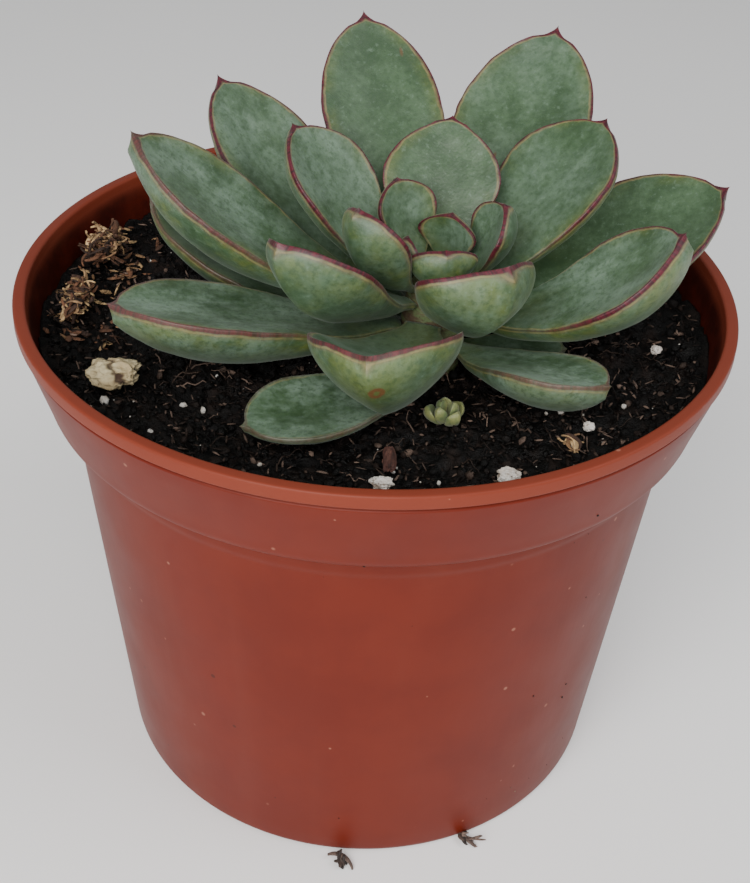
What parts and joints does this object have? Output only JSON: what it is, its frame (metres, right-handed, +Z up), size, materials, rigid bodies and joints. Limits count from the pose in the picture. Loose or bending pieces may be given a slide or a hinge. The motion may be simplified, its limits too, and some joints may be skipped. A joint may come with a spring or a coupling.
{
  "type": "potted succulent",
  "caption": "Rosette succulent with thick keeled leaves, planted off centre in a round tapered plastic nursery pot full of dark soil.",
  "frame": {"origin": "centre of the pot's foot, on the surface it stands on", "axes": "+Z up the pot's axis, -Y towards the side that is seen from the front, +X to the right"},
  "size_m": [0.105, 0.105, 0.11],
  "materials": {
    "terracotta_plastic": "terracotta-coloured injection-moulded plastic, satin",
    "potting_soil": "dark damp peat compost with fibres and perlite",
    "green_stem": "short fleshy stem",
    "glaucous_leaf": "fleshy blue-green leaf with a waxy bloom and a dark red margin",
    "pale_bud": "small yellow-green offset bud",
    "beige_gravel": "rough beige gravel",
    "bark_shreds": "curled tan shreds of bark",
    "red_bark": "red-brown bark chip",
    "white_perlite": "white expanded perlite",
    "dark_root": "near-black root scraps"
  },
  "bodies": {
    "root": {"pot": "terracotta_plastic", "soil": "potting_soil", "stem": "green_stem", "leaf_01": "glaucous_leaf", "leaf_02": "glaucous_leaf", "leaf_03": "glaucous_leaf", "leaf_04": "glaucous_leaf", "leaf_05": "glaucous_leaf", "leaf_06": "glaucous_leaf", "leaf_07": "glaucous_leaf", "leaf_08": "glaucous_leaf", "leaf_09": "glaucous_leaf", "leaf_10": "glaucous_leaf", "leaf_11": "glaucous_leaf", "leaf_12": "glaucous_leaf", "leaf_13": "glaucous_leaf", "leaf_14": "glaucous_leaf", "leaf_15": "glaucous_leaf", "leaf_16": "glaucous_leaf", "leaf_17": "glaucous_leaf", "leaf_18": "glaucous_leaf", "leaf_19": "glaucous_leaf", "leaf_20": "glaucous_leaf", "leaf_21": "glaucous_leaf", "leaf_22": "glaucous_leaf", "leaf_23": "glaucous_leaf", "leaf_24": "glaucous_leaf", "leaf_25": "glaucous_leaf", "leaf_26": "glaucous_leaf", "offset_bud": "pale_bud", "gravel_stone": "beige_gravel", "bark_tuft_front": "bark_shreds", "bark_tuft_back": "bark_shreds", "bark_chip": "red_bark", "bark_curl": "bark_shreds", "perlite_1": "white_perlite", "perlite_2": "white_perlite", "perlite_3": "white_perlite", "perlite_4": "white_perlite", "root_scrap_front": "dark_root", "root_scrap_right": "dark_root"}
  },
  "joints": []
}
